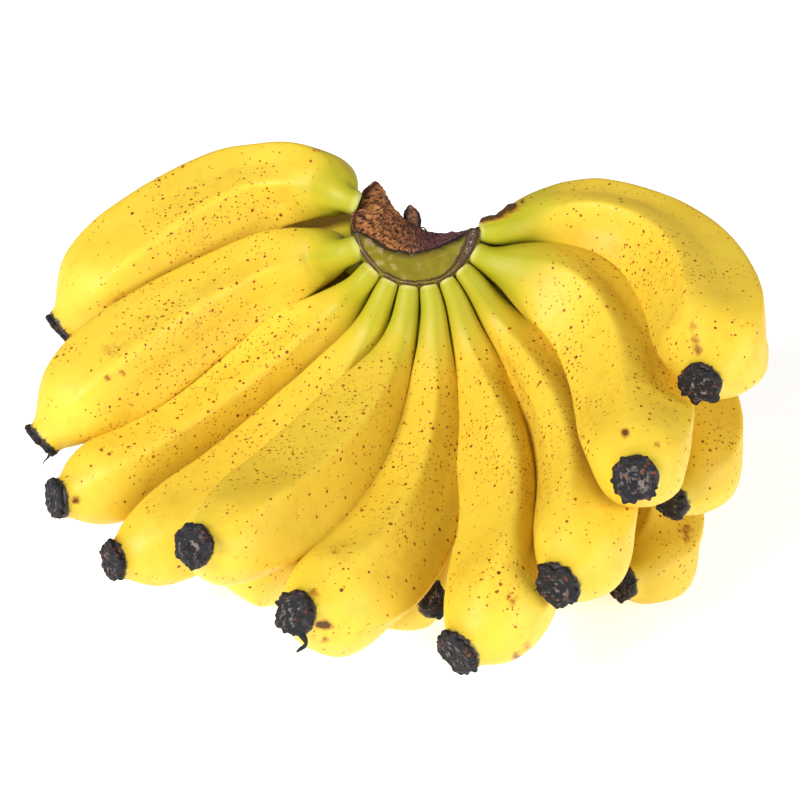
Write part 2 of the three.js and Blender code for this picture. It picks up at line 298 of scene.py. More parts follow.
freckled = add(tree, "ShaderNodeAttribute", attribute_name="freckled").outputs["Fac"]
bend = add(tree, "ShaderNodeTexNoise", {"Vector": place, "Scale": waves(1.111), "Detail": 1.0})
wobble = add(tree, "ShaderNodeVectorMath", {0: bend.outputs["Color"], 1: (FRECKLE_BEND,) * 3,
                                            2: place}, operation="MULTIPLY_ADD").outputs[0]


def widest(so_far, inside, chosen, low, high):
    """The chosen dots of one size, from nothing at low to full at high, over those so far."""
    dot = add(tree, "ShaderNodeMapRange", {"Value": inside, "From Min": low, "From Max": high})
    dot = add(tree, "ShaderNodeMath", {0: dot.outputs[0], 1: chosen}, operation="MULTIPLY").outputs[0]
    if so_far is None:
        return dot
    return add(tree, "ShaderNodeMath", {0: so_far, 1: dot}, operation="MAXIMUM").outputs[0]


freckle, halo = None, None
for cell, smallest, largest, share in FRECKLES:
    spots = add(tree, "ShaderNodeTexVoronoi", {"Vector": wobble, "Scale": waves(cell),
                                               "Randomness": 1.0})
    chance = add(tree, "ShaderNodeSeparateColor", {"Color": spots.outputs["Color"]})
    often = add(tree, "ShaderNodeMath", {0: freckled, 1: share}, operation="MULTIPLY").outputs[0]
    chosen = add(tree, "ShaderNodeMath", {0: chance.outputs["Red"], 1: often},
                 operation="LESS_THAN").outputs[0]
    size = add(tree, "ShaderNodeMapRange", {"Value": chance.outputs["Green"],
                                            "To Min": smallest / cell, "To Max": largest / cell})
    inside = add(tree, "ShaderNodeMath", {0: size.outputs[0], 1: spots.outputs["Distance"]},
                 operation="SUBTRACT").outputs[0]
    freckle = widest(freckle, inside, chosen, 0.0, FRECKLE_EDGE / cell)
    halo = widest(halo, inside, chosen, -HALO / cell, FRECKLE_EDGE / cell)
print("sizes of freckle:", len(FRECKLES))

# %% [markdown]
# ## Colour of the freckles
# A young freckle is reddish and an old one nearly black, so a noise picks between two browns. The
# halo is an orange tint that goes on first, and the freckle covers its middle.

# %% Colour the freckles
HALO_STRENGTH = 0.4
FRECKLE_STRENGTH = 0.92

age = add(tree, "ShaderNodeTexNoise", {"Vector": place, "Scale": waves(4.545)}).outputs["Fac"]
age = add(tree, "ShaderNodeMapRange", {"Value": age, "From Min": 0.4, "From Max": 0.6}).outputs[0]
brown = add(tree, "ShaderNodeMixRGB", {"Fac": age, "Color1": colour("#a03a08"),
                                       "Color2": colour("#5a1a06")}).outputs["Color"]
ringed = add(tree, "ShaderNodeMath", {0: halo, 1: HALO_STRENGTH}, operation="MULTIPLY").outputs[0]
skin = add(tree, "ShaderNodeMixRGB", {"Fac": ringed, "Color1": skin,
                                      "Color2": colour("#c8781a")}).outputs["Color"]
dotted = add(tree, "ShaderNodeMath", {0: freckle, 1: FRECKLE_STRENGTH},
             operation="MULTIPLY").outputs[0]
skin = add(tree, "ShaderNodeMixRGB", {"Fac": dotted, "Color1": skin,
                                      "Color2": brown}).outputs["Color"]
print("with freckles the peel has", len(tree.nodes), "nodes")

# %% [markdown]
# ## Bruises, scuffs and the dry end
# Bruises and scuffs have a place of their own, so the pieces carry them as a number, `stain`. A
# fine noise added to it breaks their edges up: a little stain gives an ochre scuff, and more of it
# a dark bruise. The same noise frays the last two millimetres, dry and dark under the dead flower.

# %% Marks on the peel
stain = add(tree, "ShaderNodeAttribute", attribute_name="stain").outputs["Fac"]
scuff = add(tree, "ShaderNodeTexNoise", {"Vector": place, "Scale": waves(2),
                                         "Detail": 4.0}).outputs["Fac"]
torn = add(tree, "ShaderNodeMath", {0: scuff, 1: stain}, operation="ADD").outputs[0]
scuffed = add(tree, "ShaderNodeMapRange", {"Value": torn, "From Min": 0.7, "From Max": 1.0,
                                           "To Max": 0.6}).outputs[0]
skin = add(tree, "ShaderNodeMixRGB", {"Fac": scuffed, "Color1": skin,
                                      "Color2": colour("#b06a14")}).outputs["Color"]
bruised = add(tree, "ShaderNodeMapRange", {"Value": torn, "From Min": 1.0, "From Max": 1.35,
                                           "To Max": 0.9}).outputs[0]
skin = add(tree, "ShaderNodeMixRGB", {"Fac": bruised, "Color1": skin,
                                      "Color2": colour("#40200e")}).outputs["Color"]
ragged = add(tree, "ShaderNodeMath", {0: scuff, 1: 4.0, 2: to_tip},
             operation="MULTIPLY_ADD").outputs[0]
dying = add(tree, "ShaderNodeMapRange", {"Value": ragged, "From Min": 3.8, "From Max": 5.0,
                                         "To Min": 1.0, "To Max": 0.0}).outputs[0]
skin = add(tree, "ShaderNodeMixRGB", {"Fac": dying, "Color1": skin,
                                      "Color2": colour("#2c2420")}).outputs["Color"]
print("the peel has grown to", len(tree.nodes), "nodes")

# %% [markdown]
# ## Wax and pores
# The wax on the skin gives a broad sheen with no mirror, and it is duller where the skin is
# mottled. Pores and sunken freckles are shallower than any point of the mesh could show, so they
# are relief in the material. The pores are drawn coarser than they are, so that they still show.

# %% Surface of the peel
WAX_IOR = 1.4  # a little under that of pure wax

pores = add(tree, "ShaderNodeTexNoise", {"Vector": place, "Scale": waves(0.714)}).outputs["Fac"]
pitted = add(tree, "ShaderNodeBump", {"Height": pores, "Strength": 0.12, "Distance": 0.2 * MM})
sunken = add(tree, "ShaderNodeBump", {"Height": freckle, "Strength": 0.3, "Distance": 0.1 * MM,
                                      "Normal": pitted.outputs["Normal"]}, invert=True)
rough = add(tree, "ShaderNodeMapRange", {"Value": mottle, "To Min": 0.46, "To Max": 0.6}).outputs[0]
surface = add(tree, "ShaderNodeBsdfPrincipled", {"Base Color": skin, "Roughness": rough,
                                                 "IOR": WAX_IOR,
                                                 "Normal": sunken.outputs["Normal"]})
add(tree, "ShaderNodeOutputMaterial", {"Surface": surface.outputs["BSDF"]})
print("nodes in the finished peel:", len(tree.nodes))

# %% [markdown]
# ## From a part to a piece
# Every visible piece starts as a merged copy of its own part in the frame, or as a small shape that
# is set beside one, and ends as an object that rides on the hand. A subdivision surface does the
# rounding, and its result is kept as the piece's own mesh, so that single points can be moved.

# %% Merged copies and finished pieces
def copy_of(node):
    """The part's mesh with its loose triangles merged, for a new piece to start from."""
    bm = bmesh.new()
    bm.from_mesh(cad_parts[node].data)
    bmesh.ops.remove_doubles(bm, verts=bm.verts, dist=0.01 * MM)
    return bm


def piece_from(bm, name, material):
    """Turns a bmesh into a smooth-shaded piece that rides on the hand."""
    mesh = bpy.data.meshes.new(name)
    bm.to_mesh(mesh)
    bm.free()
    mesh.materials.append(material)
    piece = bpy.data.objects.new(name, mesh)
    bpy.context.scene.collection.objects.link(piece)
    mesh.shade_smooth()
    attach(piece, "root")
    return piece


def apply_modifiers(piece):
    """Makes what the modifiers show the piece's own mesh."""
    shown = piece.evaluated_get(bpy.context.evaluated_depsgraph_get())
    mesh = bpy.data.meshes.new_from_object(shown)
    piece.modifiers.clear()
    piece.data = mesh
    mesh.name = piece.name


def round_off(piece, levels):
    """Rounds a piece with a subdivision surface."""
    rounding = piece.modifiers.new("rounding", "SUBSURF")
    rounding.levels = levels
    rounding.render_levels = levels
    apply_modifiers(piece)


merged = copy_of("crown")
print("corners of the crown's part, merged:", len(merged.verts))
merged.free()

# %% [markdown]
# ## Numbers on a mesh
# Numbers are read from a mesh and written back as whole arrays, because setting them point by
# point in Python would be slow. Smooth noise and a soft step are what most of them are made from.

# %% Numbers on a mesh
def read(mesh, attribute):
    """A vertex attribute as an array; positions come in mm."""
    if attribute not in ("position", "normal"):
        values = np.empty(len(mesh.vertices))
        mesh.attributes[attribute].data.foreach_get("value", values)
        return values
    values = np.empty(len(mesh.vertices) * 3)
    mesh.vertices.foreach_get("co" if attribute == "position" else "normal", values)
    if attribute == "position":
        values /= MM
    return values.reshape(-1, 3)


def write(mesh, attribute, values):
    """Writes a vertex attribute, or positions given in mm."""
    if attribute == "position":
        mesh.vertices.foreach_set("co", (values * MM).ravel())
        mesh.update()
        return
    layer = mesh.attributes.get(attribute) or mesh.attributes.new(attribute, "FLOAT", "POINT")
    layer.data.foreach_set("value", np.asarray(values, float))


def cloud(points, size, seed=0.0):
    """Smooth noise from -1 to 1 at each point, with waves of about this size."""
    shift = Vector((seed * 7.3, seed * 3.1, seed * 5.7))
    return np.array([noise.noise(Vector(p) / size + shift) for p in points])


def smooth_share(values, low, high):
    """0 at low, 1 at high and a soft step between them; low may be the larger one."""
    t = np.clip((values - low) / (high - low), 0, 1)
    return t * t * (3 - 2 * t)


print("a soft step:", [round(float(smooth_share(t, 0, 4)), 2) for t in range(5)])

# %% [markdown]
# ## Rings of a finger
# The frame holds each finger as rings of fifteen points, pressed flat where two fingers lie
# against each other, with a pole at each end. The mesh does not say which point belongs to which
# ring, so the rings are found by walking from the pole at the crown, one ring at a time. The
# slanting edges between two rings are kept too, because without them clean squares are left, which
# a subdivision surface rounds better than triangles.

# %% Find the rings
SIDES = 15


def corners_from(face, v):
    """The other two corners of a triangle, the next one round it first."""
    corners = [loop.vert for loop in face.loops]
    at = corners.index(v)
    return corners[at - 2], corners[at - 1]


def rings_of(bm):
    """A finger's rings from the crown to the flower end, all counted the same way round, its two
    poles, and the slanting edges between the rings."""
    poles = [v for v in bm.verts if len(v.link_faces) == SIDES]
    root, tip = sorted(poles, key=lambda v: (v.co / MM - CROWN_MIDDLE).length)
    following = dict(corners_from(face, root) for face in root.link_faces)
    ring = [next(iter(following))]
    while following[ring[-1]] is not ring[0]:
        ring.append(following[ring[-1]])
    rings, slants, placed = [], [], {root}
    while ring:
        rings.append(ring)
        placed.update(ring)
        ahead = []
        for v in ring:
            for face in v.link_faces:
                slant_end, next_end = corners_from(face, v)
                if slant_end not in placed and next_end not in placed:
                    ahead.append(next_end)
                    slants.append(bm.edges.get((v, slant_end)))
        ring = ahead
    return root, tip, rings, slants


def measure(rings):
    """Each ring's middle, and in mm its radius and how far along the finger it lies."""
    middles = [sum((v.co for v in ring), Vector()) / SIDES for ring in rings]
    radii = [np.mean([(v.co - middle).length for v in ring]) / MM
             for ring, middle in zip(rings, middles)]
    steps = [(there - here).length / MM for here, there in zip(middles, middles[1:])]
    return middles, radii, np.cumsum([0, *steps])


trial = copy_of("finger_in_6")
print("rings in finger_in_6:", len(rings_of(trial)[2]))
trial.free()

# %% [markdown]
# ## Necks and bellies
# A real finger swells from a thin neck, and its neighbours press against it with no gap. The solid
# parts keep a small gap, so each ring is widened a little, some necks and bellies more than others,
# and every neck's first ring is sunk into the crown. The first neck bends back behind the edge of
# the cut, and the last one starts thin, under the crown's tip. Moving whole rings keeps the finger
# round, which pushing single points about would not.

# %% Widen and bend the rings
SWELL = 1.03
NECK = (20, 60)  # along this stretch a neck turns into the finger's belly, in mm
NECK_SWELL = {"finger_in_2": 0.12, "finger_in_10": 0.12}  # necks that are thicker than most
BACK_NECK_SWELL = 0.3  # and those of the back row, which fill the gaps between the front ones
FULLER = {"finger_out_4": 0.12, "finger_in_1": 0.06}  # fingers whose bellies are fuller
SINK = 2.6  # how far a neck's first ring goes into the crown
BENT_ROOT = "finger_in_1"  # the neck that bends back
BEND = 9  # how far its first ring moves
BEND_LENGTH = 40  # along this length the bend fades out
BENT_SINK = 0.7  # its sink, as a share of the others'
BEND_SMOOTHED = (12, 62)  # the stretch that is smoothed after that
BEND_PASSES = 3
THIN_ROOT = "finger_in_10"  # the neck that starts thin
THIN_STRETCH = (-3, 7)  # along this stretch it comes up from under the tip
THINNER = 0.4


def swell_at(node, along):
    """How much wider a finger is than its part, this far along it."""
    neck_swell = BACK_NECK_SWELL if "_out_" in node else NECK_SWELL.get(node, 0.0)
    belly = smooth_share(along, *NECK)
    return SWELL + neck_swell * (1 - belly) + FULLER.get(node, 0.0) * belly


def shape_rings(bm, node, root, rings):
    """Widens a finger's rings, bends its neck and sinks its root."""
    middles, _, reached = measure(rings)
    for ring, middle, along in zip(rings, middles, reached):
        thin = 1 - smooth_share(along, *THIN_STRETCH) if node == THIN_ROOT else 0
        bend = 1 - smooth_share(along, 0, BEND_LENGTH) if node == BENT_ROOT else 0
        shift = -UP * thin * MM - OUT * BEND * bend * MM
        if ring is rings[0]:
            root.co += shift
        for v in ring:
            wider = (v.co - middle) * swell_at(node, along) * (1 - THINNER * thin)
            v.co = middle + wider + shift
    share = BENT_SINK if node == BENT_ROOT else 1
    sink = (middles[0] - middles[2]).normalized() * share * SINK * MM
    for v in (*rings[0], root):
        v.co += sink
    if node == BENT_ROOT:
        start, end = np.searchsorted(reached, BEND_SMOOTHED)
        for _ in range(BEND_PASSES):
            bmesh.ops.smooth_vert(bm, verts=[v for ring in rings[start:end] for v in ring],
                                  factor=0.5, use_axis_x=True, use_axis_y=True, use_axis_z=True)


print("widened by:", [round(float(swell_at("finger_out_4", along)), 2) for along in (0, 40, 80)])

# %% [markdown]
# ## Blunt ridges
# A banana is a soft five-sided tube, and the five blunt ridges run from the neck to the flower end.
# Each point carries how far it lies along the finger and round it, and the rounding hands those
# numbers on to the fine mesh. A formula can then lift the points into ridges, where ridges in the
# coarse rings would be rounded away. Slow noise adds the dents that every real finger has.

# %% Ridges along a finger
RIDGES = 5
RIDGE_FACING = SIDE * -0.05 + OUT  # one ridge of each finger looks this way at mid-length
HALF_FACE = math.pi / RIDGES
FACET = 1.35  # how strong the ridges are; 1 makes flat faces between them
FACE_MEAN = 0.872  # a five-sided shape's mean radius, if its corners lie at 1
RIDGE_SOFTNESS = 0.1
NECK_RIDGE = 0.1  # the height of the ridges on the neck, as a share of their full height
RIDGES_RISE = (15, 50)  # along this stretch they rise, in mm from the crown
RIDGES_FADE = (44, 10)  # and along this one they fade, in mm from the flower end
ROUND_END = (12, 6)  # and here the last trace of them goes
DENTS = ((0.5, 38), (0.12, 9))  # height and size of the slow noise, in mm


def turns_round(ring, middle):
    """The angle of each point round a ring, counted from the ridge that faces the viewer."""
    turns = 2 * math.pi * np.arange(SIDES) / SIDES
    toward = [(v.co - middle).normalized().dot(RIDGE_FACING) for v in ring]
    return turns - math.atan2(np.dot(toward, np.sin(turns)), np.dot(toward, np.cos(turns)))


def label_points(layers, rings, tip):
    """Writes on each point its place along and round the finger, and gives the finger's length."""
    middles, radii, reached = measure(rings)
    half = len(rings) // 2
    angles = turns_round(rings[half], middles[half])
    for ring, radius, along in zip(rings, radii, reached):
        for v, angle in zip(ring, angles):
            v[layers["along"]] = along
            v[layers["round_x"]] = math.cos(angle)
            v[layers["round_y"]] = math.sin(angle)
            v[layers["girth"]] = radius
    length = reached[-1] + (tip.co - middles[-1]).length / MM
    tip[layers["along"]] = length
    return length


def ridge_share(mesh):
    """How near each point is to a ridge: 0 between two ridges and 1 on one."""
    angle = np.arctan2(read(mesh, "round_y"), read(mesh, "round_x"))
    return np.abs((RIDGES * angle / (2 * math.pi)) % 1 - 0.5) * 2


def lift_of(mesh, points, length, seed):
    """How far the ridges and dents of a finger move each of its points out."""
    along, girth, near = read(mesh, "along"), read(mesh, "girth"), ridge_share(mesh)
    blunt = 1 - np.hypot(1 - near, RIDGE_SOFTNESS) + RIDGE_SOFTNESS
    facet = math.cos(HALF_FACE) / np.cos(HALF_FACE * blunt) - FACE_MEAN
    to_end = length - along
    body = smooth_share(along, *RIDGES_RISE) * (1 - smooth_share(to_end, *RIDGES_FADE))
    lift = FACET * girth * facet * (NECK_RIDGE + (1 - NECK_RIDGE) * body)
    lift *= 1 - smooth_share(to_end, *ROUND_END)
    return lift + body * sum(height * cloud(points, size, seed) for height, size in DENTS)


print("degrees from one ridge to the next:", round(math.degrees(2 * HALF_FACE)))

# %% [markdown]
# ## Where the marks are
# Bruises are placed one by one, as on any real hand, while freckles only need to know where they
# crowd. Both are lists of round spots as they show from the front, and a point counts as marked by
# how near it is to a spot, so no picture has to be painted or unwrapped.

# %% Spots on the fingers
# Dark marks, most of them bruises and scuffs: side and up in mm as they show from the front, their
# reach, and how strong they are.
MARKS = {
    "finger_in_1": ((-118.6, -32, 5, 0.5), (-36.6, 32.4, 3, 0.6), (-40, 31, 2.5, 0.5)),
    "finger_in_2": ((-123.8, -61.6, 1.5, 1), (-117.4, -59.6, 1.4, 0.9), (-122, -50.4, 4, 0.4)),
    "finger_in_3": ((-136.2, -110.4, 1.8, 1), (-126, -90.4, 0.9, 1), (-123, -92, 0.9, 1)),
    "finger_in_4": ((-69.8, -105.6, 1.6, 1), (-64.2, -102, 3.2, 0.65), (-121, -126, 2.6, 0.6)),
    "finger_in_6": ((-35.8, -160.4, 2.2, 1), (-39, -160.2, 1.8, 0.9), (-41, -147.6, 2.8, 0.6),
                    (-36.6, -166, 1.6, 0.8), (-32.6, -131.2, 1.6, 0.6)),
    "finger_in_7": ((38.2, -150.8, 3.4, 0.55), (40.2, -173.2, 2.2, 0.8), (44, -169, 2, 0.6)),
    "finger_in_9": ((83.4, -83.6, 2.2, 0.9), (96, -88, 1.6, 0.5)),
    # The first three spots of finger_in_10 darken a brownish-olive line along its inner side.
    "finger_in_10": ((111.4, -46.4, 2, 0.7), (112.6, -50.4, 2, 0.9), (110.6, -41, 2.4, 0.6),
                     (38, 7.6, 1.4, 1.2), (42.4, 9, 1.2, 0.9)),
    "finger_out_7": ((108.2, -122, 2.4, 0.7), (108, -126, 2, 0.6)),
}
# Where freckles crowd: side and up in mm as they show from the front, and how far they spread.
CROWDED = ((27, -87.6, 12), (14, -88, 12), (8, -62, 9), (-2, -92, 14), (-8, -115, 12), (36, -60, 9),
           (44, -100, 14), (36, -140, 12), (58, -52, 12), (62, -80, 12), (-80, -72, 18),
           (-100, -44, 18), (-66, -48, 16), (-30, -70, 14), (-56, -88, 12), (-92, 2, 16),
           (-62, 6, 12), (-112, -92, 12), (100, -60, 14), (96, -16, 14), (66, -28, 12),
           (108, -120, 10), (122, -84, 10))


def spots_at(seen, spots):
    """How strongly round spots, given as side, up, reach and strength, colour each point."""
    total = np.zeros(len(seen))
    for side, up, reach, strength in spots:
        away = np.hypot(seen[:, 0] - side, seen[:, 1] - up)
        total += strength * np.exp(-(away / reach) ** 2)
    return total


print("bruises and scuffs:", sum(len(spots) for spots in MARKS.values()))

# %% [markdown]
# ## Grow the fingers
# Now the steps come together for each of the eighteen fingers: rings, rounding, ridges, and the
# numbers that the peel's material asks for. A strip of the crown's torn, dry skin lies along the
# top of the last neck, so it is raised there and stained. The far end of each finger is kept as the
# seat of its dried flower.

# %% Grow each finger
SCAR_LENGTH = 18.0  # the torn strip along the last neck
SCAR_HEIGHT = 1.8
SCAR_STAIN = 1.3
FRECKLED = (0.2, 0.4, 0.85)  # how freckled: everywhere, by chance, and in the crowds
CHANCE_SIZE = 14  # the size of the patches that chance makes, in mm
BARE_NECK = (6, 34)  # freckles set in along this stretch, in mm from the crown
BARE_END = (2, 14)  # and stop along this one, in mm from the flower end


def torn_strip(node, along, normals):
    """How much each point belongs to the torn strip."""
    if node != THIN_ROOT:
        return np.zeros(len(along))
    upward = smooth_share(normals @ np.array(UP), 0.5, 0.95)
    return upward * (1 - smooth_share(along, SCAR_LENGTH - 4, SCAR_LENGTH))


def paint_finger(mesh, points, normals, length, marks, scar):
    """Writes the numbers that the peel's material asks for."""
    along = read(mesh, "along")
    seen = seen_at(points)
    in_front = smooth_share(normals @ np.array(OUT), -0.5, -0.1)
    crowd = spots_at(seen, [(*spot, 1) for spot in CROWDED])
    everywhere, by_chance, in_crowds = FRECKLED
    freckled = everywhere + by_chance * cloud(points, CHANCE_SIZE, 3)
    freckled += in_crowds * np.minimum(crowd, 1)
    freckled *= smooth_share(along, *BARE_NECK) * smooth_share(length - along, *BARE_END)
    write(mesh, "to_tip", length - along)
    write(mesh, "ridge", ridge_share(mesh) ** 3)
    write(mesh, "stain", spots_at(seen, marks) * in_front + SCAR_STAIN * scar)
    write(mesh, "freckled", np.clip(freckled, 0, 1))


def grow_finger(node, seed):
    """A finished finger, and the place, heading and radius of its flower end."""
    bm = copy_of(node)
    layers = {name: bm.verts.layers.float.new(name)
              for name in ("along", "round_x", "round_y", "girth")}
    root, tip, rings, slants = rings_of(bm)
    middles, radii, _ = measure(rings)
    ending = (tip.co.copy(), (middles[-1] - middles[-3]).normalized(), radii[-2])
    length = label_points(layers, rings, tip)
    shape_rings(bm, node, root, rings)
    bmesh.ops.dissolve_edges(bm, edges=slants, use_verts=False)
    piece = piece_from(bm, node + "_peel", peel)
    round_off(piece, 3)

    mesh = piece.data
    points, normals = read(mesh, "position"), read(mesh, "normal")
    points += normals * lift_of(mesh, points, length, seed)[:, None]
    scar = torn_strip(node, read(mesh, "along"), normals)
    points += np.outer(scar * (SCAR_HEIGHT + 0.5 * cloud(points, 2.5, 5)), UP)
    points[:, 2] = np.maximum(points[:, 2], 0)  # nothing goes below the table
    write(mesh, "position", points)
    paint_finger(mesh, points, normals, length, MARKS.get(node, ()), scar)
    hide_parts(node)
    return piece, ending


fingers, endings = {}, {}
for row, slot, count in (("in", "peel_inner", 10), ("out", "peel_outer", 8)):
    for number in range(1, count + 1):
        name = f"finger_{row}_{number}"
        fingers[name], endings[name] = grow_finger(name, seed=number + 20 * (row == "out"))
print("fingers:", len(fingers), " faces in one:", len(fingers["finger_in_6"].data.polygons))

# %% [markdown]
# ## Wood of the cut
# The crown is the cushion where the hand was cut from its stalk. The cut dries to matt brown fibres
# that fan out from the stalk: warm brown, darker and plum toward the right, with near-black gaps.
# Its sides that turn away from above get painted shade in the same near-black.
# The noise of the fibres is not laid out in space but over how far a point has turned round the
# stalk and how far away it is, which the crown carries, so the fibres fan out as they grew.

# %% Wood of the crown
cushion, tree = new_material("dried_banana_crown")
place = add(tree, "ShaderNodeTexCoord").outputs["Object"]
plum = add(tree, "ShaderNodeAttribute", attribute_name="plum").outputs["Fac"]
# outline: painted shade on the sides of the cut that turn away from above, and a dark line along its
# outer arc.
outline = add(tree, "ShaderNodeAttribute", attribute_name="outline").outputs["Fac"]
fan = add(tree, "ShaderNodeAttribute", attribute_name="fan").outputs["Fac"]
away = add(tree, "ShaderNodeAttribute", attribute_name="away").outputs["Fac"]
blotch = add(tree, "ShaderNodeTexNoise", {"Vector": place, "Scale": waves(3.846),
                                          "Detail": 4.0}).outputs["Fac"]
grain = add(tree, "ShaderNodeTexNoise", {"Vector": place, "Scale": waves(0.6667),
                                         "Detail": 3.0}).outputs["Fac"]

warm = add(tree, "ShaderNodeMapRange", {"Value": blotch, "From Min": 0.4,
                                        "From Max": 0.62}).outputs[0]
wood = add(tree, "ShaderNodeMixRGB", {"Fac": warm, "Color1": colour("#7c4627"),
                                      "Color2": colour("#c4824a")}).outputs["Color"]
tan = add(tree, "ShaderNodeMapRange", {"Value": grain, "From Min": 0.56, "From Max": 0.7,
                                       "To Max": 0.6}).outputs[0]
wood = add(tree, "ShaderNodeMixRGB", {"Fac": tan, "Color1": wood,
                                      "Color2": colour("#c99a68")}).outputs["Color"]
wood = add(tree, "ShaderNodeMixRGB", {"Fac": plum, "Color1": wood,
                                      "Color2": colour("#6e4442")}).outputs["Color"]
fanned = add(tree, "ShaderNodeCombineXYZ", {"X": fan, "Y": away}).outputs[0]
fibres = add(tree, "ShaderNodeTexNoise", {"Vector": fanned, "Scale": 1.0, "Detail": 3.0,
                                          "Roughness": 0.6}).outputs["Fac"]
gaps_and_painted_shade = add(tree, "ShaderNodeMapRange", {"Value": fibres, "From Min": 0.5, "From Max": 0.58,
                                        "To Max": 0.95}).outputs[0]
# The near-black goes into the gaps between fibres, and is painted shade where outline says so.
gaps_and_painted_shade = add(tree, "ShaderNodeMath", {0: gaps_and_painted_shade, 1: outline}, operation="MAXIMUM").outputs[0]
wood = add(tree, "ShaderNodeMixRGB", {"Fac": gaps_and_painted_shade, "Color1": wood,
                                      "Color2": colour("#2c1a18")}).outputs["Color"]
print("the crown starts with", len(tree.nodes), "nodes")

# %% [markdown]
# ## Olive band
# In front of the cut a smooth olive band is left. Brown bleeds down into it from the edge of the
# cut, and beige blotches lie on its left. The crown carries how far each point is below that edge,
# in mm, so the brown follows the edge, and the same blotches fray it.

# %% Band of the crown
edge = add(tree, "ShaderNodeAttribute", attribute_name="edge").outputs["Fac"]
band = add(tree, "ShaderNodeMixRGB", {"Fac": blotch, "Color1": colour("#5a5206"),
                                      "Color2": colour("#8c8012")}).outputs["Color"]
bleeding = add(tree, "ShaderNodeMath", {0: blotch, 1: 6.0, 2: edge},
               operation="MULTIPLY_ADD").outputs[0]
bled = add(tree, "ShaderNodeMapRange", {"Value": bleeding, "From Min": -1.0, "From Max": 2.6,
                                        "To Max": 0.9}).outputs[0]
band = add(tree, "ShaderNodeMixRGB", {"Fac": bled, "Color1": band,
                                      "Color2": colour("#3a2814")}).outputs["Color"]
beige = add(tree, "ShaderNodeMapRange", {"Value": blotch, "From Min": 0.54, "From Max": 0.64,
                                         "To Max": 0.5}).outputs[0]
left = add(tree, "ShaderNodeMath", {0: 1.0, 1: plum}, operation="SUBTRACT").outputs[0]
beige = add(tree, "ShaderNodeMath", {0: beige, 1: left}, operation="MULTIPLY").outputs[0]
band = add(tree, "ShaderNodeMixRGB", {"Fac": beige, "Color1": band,
                                      "Color2": colour("#a8966a")}).outputs["Color"]
print("with the band:", len(tree.nodes), "nodes")

# %% [markdown]
# ## Corky rim
# Along the band's outer arc runs a corky double rim, dark and crumbly. Pale silvery flecks in the
# groove between its two ridges are painted highlights, where light would catch the folded skin. Rim
# and groove are both numbers that the crown carries, and the grain roughens where the cork begins.

# %% Rim of the crown
rim = add(tree, "ShaderNodeAttribute", attribute_name="rim").outputs["Fac"]
groove = add(tree, "ShaderNodeAttribute", attribute_name="groove").outputs["Fac"]
cork = add(tree, "ShaderNodeMixRGB", {"Fac": grain, "Color1": colour("#1e120e"),
                                      "Color2": colour("#5c3f30")}).outputs["Color"]
# Painted highlight: pale flecks in the groove, strongest on the right where the groove is deepest.
groove_highlight = add(tree, "ShaderNodeMapRange", {"Value": grain, "From Min": 0.54, "From Max": 0.66,
                                          "To Max": 0.7}).outputs[0]
groove_highlight = add(tree, "ShaderNodeMath", {0: groove_highlight, 1: groove}, operation="MULTIPLY").outputs[0]
cork = add(tree, "ShaderNodeMixRGB", {"Fac": groove_highlight, "Color1": cork,
                                      "Color2": colour("#cfc4bc")}).outputs["Color"]
corky = add(tree, "ShaderNodeMath", {0: grain, 1: 0.7, 2: rim}, operation="MULTIPLY_ADD").outputs[0]
rimmed = add(tree, "ShaderNodeMapRange", {"Value": corky, "From Min": 0.62,
                                          "From Max": 0.8}).outputs[0]
band = add(tree, "ShaderNodeMixRGB", {"Fac": rimmed, "Color1": band,
                                      "Color2": cork}).outputs["Color"]
print("with the rim:", len(tree.nodes), "nodes")

# %% [markdown]
# ## The crown's surface
# Cut and band meet in a thin inked line, ragged by the same blotches. The wood is duller than the
# band, and a fine grain runs over both.

# %% Surface of the crown
cut = add(tree, "ShaderNodeAttribute", attribute_name="cut").outputs["Fac"]
bare = add(tree, "ShaderNodeMixRGB", {"Fac": cut, "Color1": band, "Color2": wood}).outputs["Color"]
line = add(tree, "ShaderNodeMath", {0: edge, 1: 0.0}, operation="ABSOLUTE").outputs[0]
seam = add(tree, "ShaderNodeMath", {0: blotch, 1: 1.4, 2: line}, operation="MULTIPLY_ADD").outputs[0]
inked = add(tree, "ShaderNodeMapRange", {"Value": seam, "From Min": 0.95, "From Max": 1.5,
                                         "To Min": 0.92, "To Max": 0.0}).outputs[0]
bare = add(tree, "ShaderNodeMixRGB", {"Fac": inked, "Color1": bare,
                                      "Color2": colour("#1d1512")}).outputs["Color"]
rough = add(tree, "ShaderNodeMapRange", {"Value": cut, "To Min": 0.55, "To Max": 0.78}).outputs[0]
tooth = add(tree, "ShaderNodeBump", {"Height": grain, "Strength": 0.5, "Distance": 0.3 * MM})
surface = add(tree, "ShaderNodeBsdfPrincipled", {"Base Color": bare, "Roughness": rough,
                                                 "Specular IOR Level": 0.2,
                                                 "Normal": tooth.outputs["Normal"]})
add(tree, "ShaderNodeOutputMaterial", {"Surface": surface.outputs["BSDF"]})
print("nodes in the finished crown:", len(tree.nodes))

# %% [markdown]
# ## Measure the crown
# The cut slopes back and up from a curved edge. The crown part is rebuilt as a fine even skin, and
# each of its points is then measured in the crown's own frame: how far it lies above the edge of
# the cut, and how far inside the arc of the rim. Carving the skin by hand would look as good, but
# these measures can shape and colour it in one go.

# %% An even skin and its measures
CUT_EDGE = ((-23, -3.6), (-17.5, -6), (-10.6, -10.4), (-3, -11.7), (4, -10.6), (12, -7.8),
            (22, -2.6))  # side and up along the edge, in mm
FRONT = 6.0  # how far out the front face of the crown lies
RIM_RADIUS = 25.2


